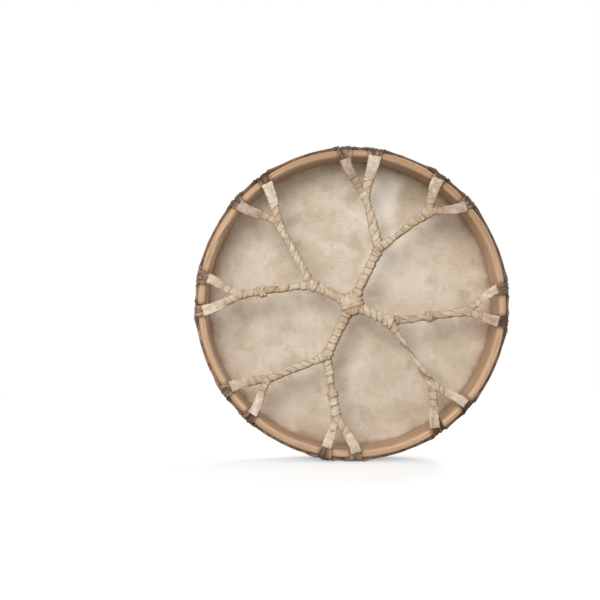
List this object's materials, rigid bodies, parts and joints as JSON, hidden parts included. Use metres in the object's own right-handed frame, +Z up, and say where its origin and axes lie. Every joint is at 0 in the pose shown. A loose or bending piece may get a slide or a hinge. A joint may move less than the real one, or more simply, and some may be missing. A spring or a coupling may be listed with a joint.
{
  "type": "frame drum",
  "caption": "Round hand-held frame drum: a bent wooden hoop, a rawhide head whose tabs fold over the back rim, and rawhide lacing drawn to a cross-shaped hand grip.",
  "frame": {"origin": "centre of the playing face's outer surface", "axes": "-Y out of the playing face, +Y out of the laced back along the drum's axis, +Z up as the drum stands on its rim"},
  "size_m": [0.4061, 0.0621, 0.4064],
  "materials": {
    "bent_wood": "light oiled wood, long grain round the hoop, darker on the inside wall",
    "drum_hide": "scraped rawhide, matte, mottled beige and grey, dark brown where it is gathered at the back rim",
    "rawhide_lace": "dry pale cream rawhide strip, creased and ribbed across",
    "rawhide_binding": "dry cream rawhide strip wound in overlapping turns, browner in the seams"
  },
  "bodies": {
    "root": {"hoop": "bent_wood", "drumhead": "drum_hide", "lace_pass_1": "rawhide_lace", "lace_pass_2": "rawhide_lace", "lace_pass_3": "rawhide_lace", "lace_pass_4": "rawhide_lace", "lace_pass_5": "rawhide_lace", "lace_pass_6": "rawhide_lace", "lace_pass_7": "rawhide_lace", "lace_pass_8": "rawhide_lace", "spoke_binding_1": "rawhide_binding", "spoke_binding_2": "rawhide_binding", "spoke_binding_3": "rawhide_binding", "spoke_binding_4": "rawhide_binding", "spoke_binding_5": "rawhide_binding", "spoke_binding_6": "rawhide_binding", "spoke_binding_7": "rawhide_binding", "spoke_binding_8": "rawhide_binding", "arm_binding_1": "rawhide_binding", "arm_binding_2": "rawhide_binding", "arm_binding_3": "rawhide_binding", "arm_binding_4": "rawhide_binding", "grip_binding": "rawhide_binding"}
  },
  "joints": []
}
